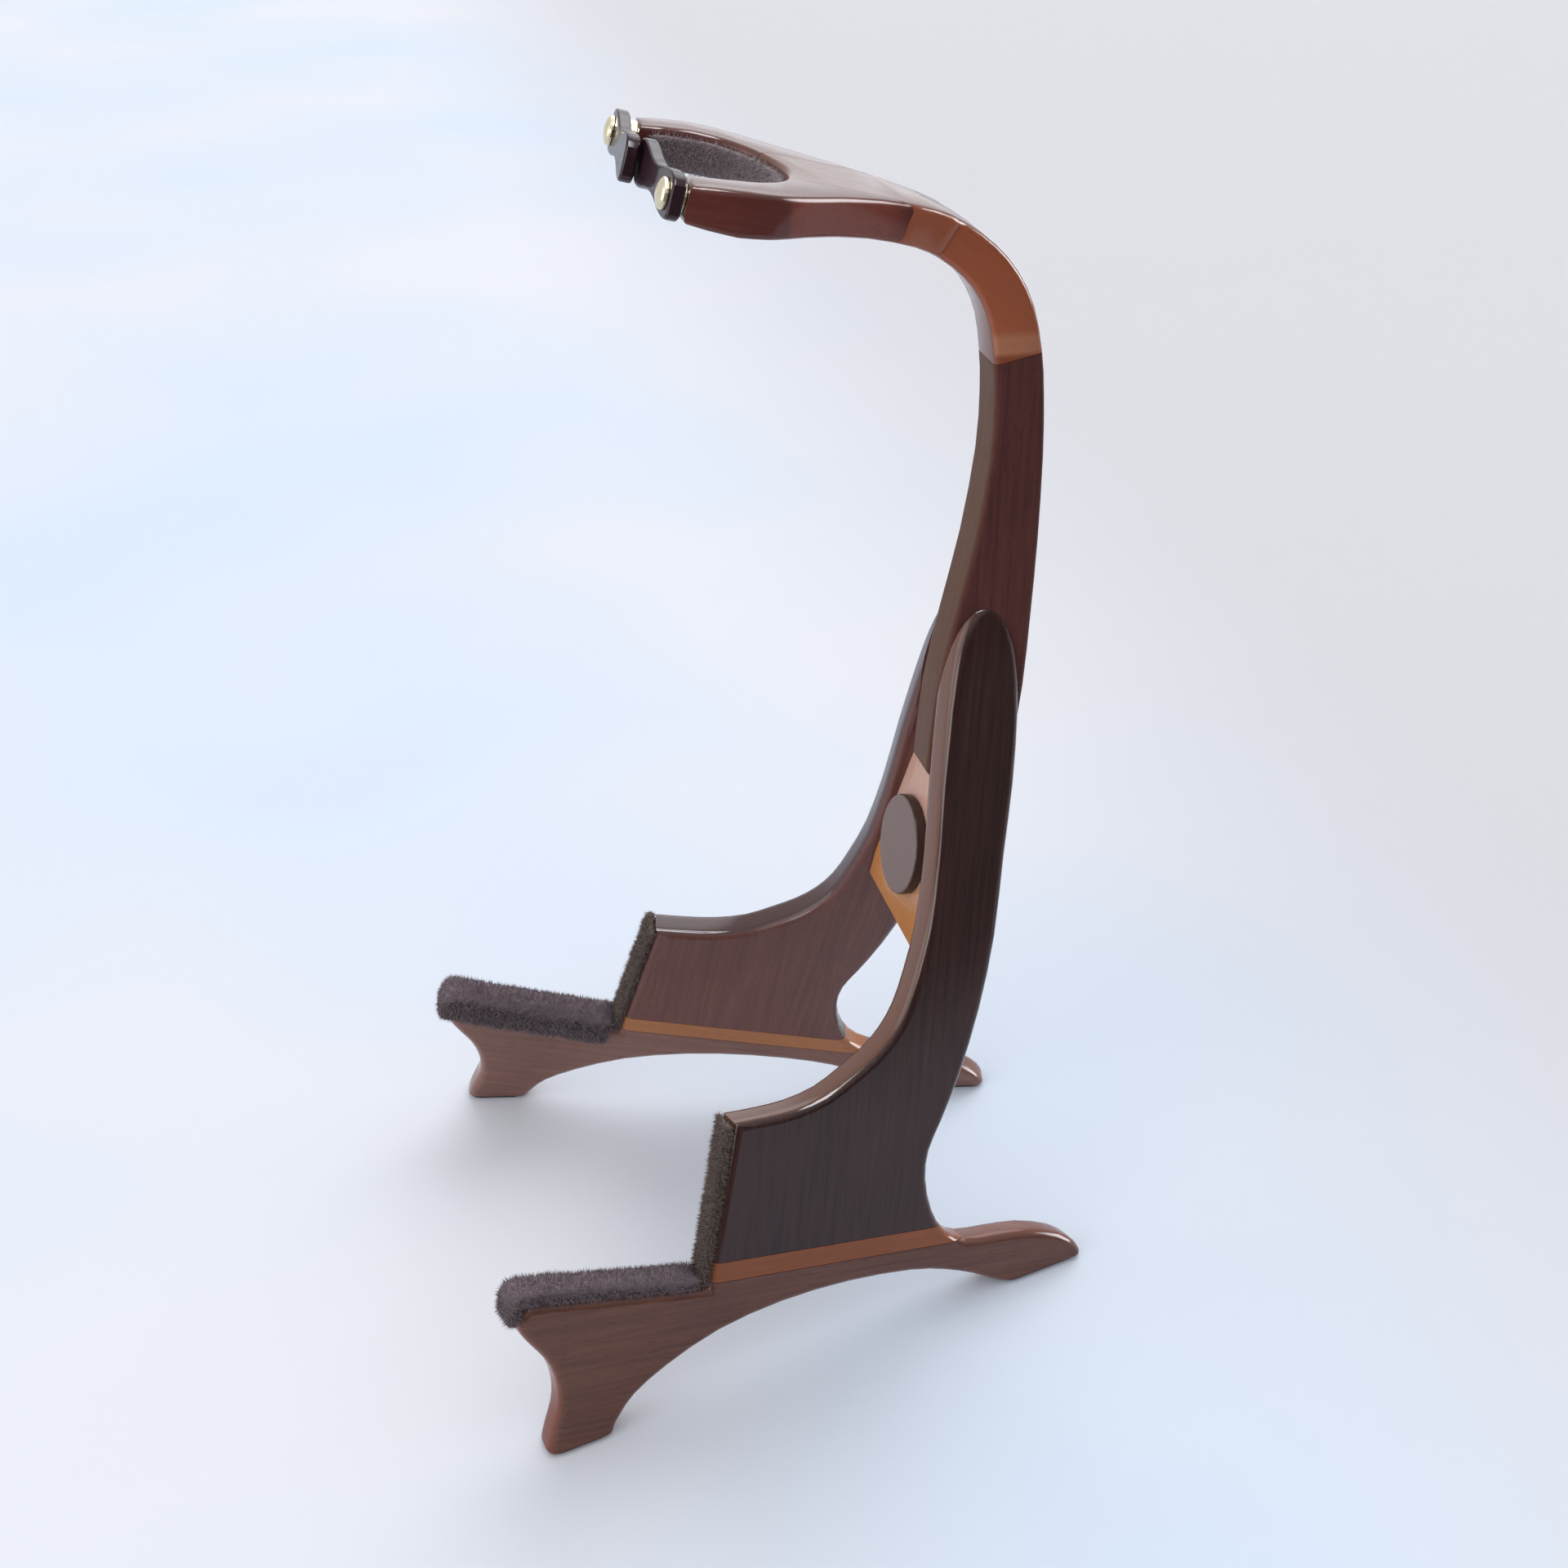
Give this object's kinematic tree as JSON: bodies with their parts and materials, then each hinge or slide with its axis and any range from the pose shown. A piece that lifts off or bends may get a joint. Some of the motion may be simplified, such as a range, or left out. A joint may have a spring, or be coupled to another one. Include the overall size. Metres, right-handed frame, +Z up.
{
  "type": "banjo stand",
  "caption": "Wooden floor stand that holds a banjo's rim on felt ledges and its neck in a felt-lined fork closed by swivel gates.",
  "frame": {"origin": "centre of the bounding box at floor level", "axes": "+Z up, -Y the front where the instrument faces, +X the stand's left as seen from the front"},
  "size_m": [0.3034, 0.3302, 0.6104],
  "materials": {
    "dark_wood": "gloss lacquer",
    "rail_wood": "gloss lacquer",
    "strip_wood": "gloss lacquer",
    "mast_wood": "gloss lacquer",
    "neck_wood": "gloss lacquer",
    "arm_wood": "gloss lacquer",
    "spreader_wood": "gloss lacquer",
    "medallion_wood": "satin lacquer",
    "gate_wood": "gloss lacquer",
    "dowel_wood": "bare",
    "felt": "wool felt",
    "black_rubber": "matte",
    "brass": "polished"
  },
  "bodies": {
    "stand": {"gooseneck": "neck_wood", "gooseneck_dowel_1": "dowel_wood", "gooseneck_dowel_2": "dowel_wood", "left_accent_strip": "strip_wood", "left_arm_dowel_1": "dowel_wood", "left_arm_dowel_2": "dowel_wood", "left_back_pad": "felt", "left_foot_rail": "rail_wood", "left_front_foot_pad": "black_rubber", "left_gate_insert": "brass", "left_gate_screw": "brass", "left_gate_spacer": "brass", "left_ledge_pad": "felt", "left_leg_dowel_1": "dowel_wood", "left_leg_dowel_2": "dowel_wood", "left_rear_foot_pad": "black_rubber", "left_upper_panel": "dark_wood", "left_yoke_arm": "arm_wood", "mast_cross_dowel": "dowel_wood", "mast_foot_dowel_1": "dowel_wood", "mast_foot_dowel_2": "dowel_wood", "mast_post": "mast_wood", "medallion": "medallion_wood", "medallion_dowel": "dowel_wood", "right_accent_strip": "strip_wood", "right_arm_dowel_1": "dowel_wood", "right_arm_dowel_2": "dowel_wood", "right_back_pad": "felt", "right_foot_rail": "rail_wood", "right_front_foot_pad": "black_rubber", "right_gate_insert": "brass", "right_gate_screw": "brass", "right_gate_washer": "brass", "right_ledge_pad": "felt", "right_leg_dowel_1": "dowel_wood", "right_leg_dowel_2": "dowel_wood", "right_rear_foot_pad": "black_rubber", "right_upper_panel": "dark_wood", "right_yoke_arm": "arm_wood", "spreader_block": "spreader_wood", "yoke_felt": "felt"},
    "right_gate": {"right_gate": "gate_wood"},
    "left_gate": {"left_gate": "gate_wood"}
  },
  "joints": [
    {"name": "right_gate_swing", "type": "hinge", "parent": "stand", "child": "right_gate", "pos_m": [0.0515, -0.04719, 0.59727], "axis": [0, -0.9677, 0.2521], "continuous": true},
    {"name": "left_gate_swing", "type": "hinge", "parent": "stand", "child": "left_gate", "pos_m": [-0.0515, -0.04719, 0.59727], "axis": [-0.1148, -0.9613, 0.2504], "continuous": true}
  ]
}
